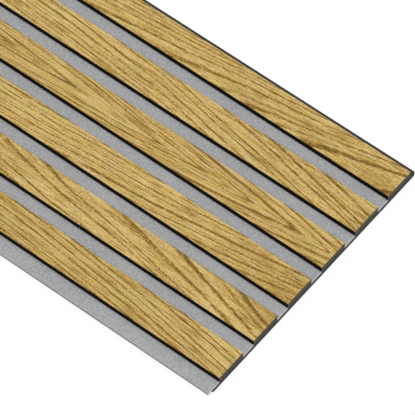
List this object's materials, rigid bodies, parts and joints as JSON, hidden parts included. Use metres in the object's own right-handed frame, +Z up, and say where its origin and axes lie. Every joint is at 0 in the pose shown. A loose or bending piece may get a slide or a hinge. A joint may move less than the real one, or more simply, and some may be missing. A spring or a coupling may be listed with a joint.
{
  "type": "acoustic slat wall panel",
  "caption": "Slim wall panel of oak-faced slats standing on a dark grooved backing board, with grey felt laid between the slats and past one edge as a lap joint.",
  "frame": {"origin": "under the middle of the whole panel, on the plane of the board's back", "axes": "+X along the slats, its end the pictured one; +Y across, from the felt overhang to the bare lip; +Z up from the back to the oak"},
  "size_m": [2.4, 0.307, 0.0132],
  "materials": {
    "board": "black-dyed fibreboard, matt",
    "slat_core": "black-dyed fibreboard, matt",
    "oak": "golden oak veneer, satin",
    "felt": "light grey needled felt"
  },
  "bodies": {
    "root": {"backing_board": "board", "slat_core_1": "slat_core", "slat_core_2": "slat_core", "slat_core_3": "slat_core", "slat_core_4": "slat_core", "slat_core_5": "slat_core", "slat_core_6": "slat_core", "oak_face_1": "oak", "oak_face_2": "oak", "oak_face_3": "oak", "oak_face_4": "oak", "oak_face_5": "oak", "oak_face_6": "oak", "felt_strip_1": "felt", "felt_strip_2": "felt", "felt_strip_3": "felt", "felt_strip_4": "felt", "felt_strip_5": "felt", "felt_overhang_strip": "felt"}
  },
  "joints": []
}
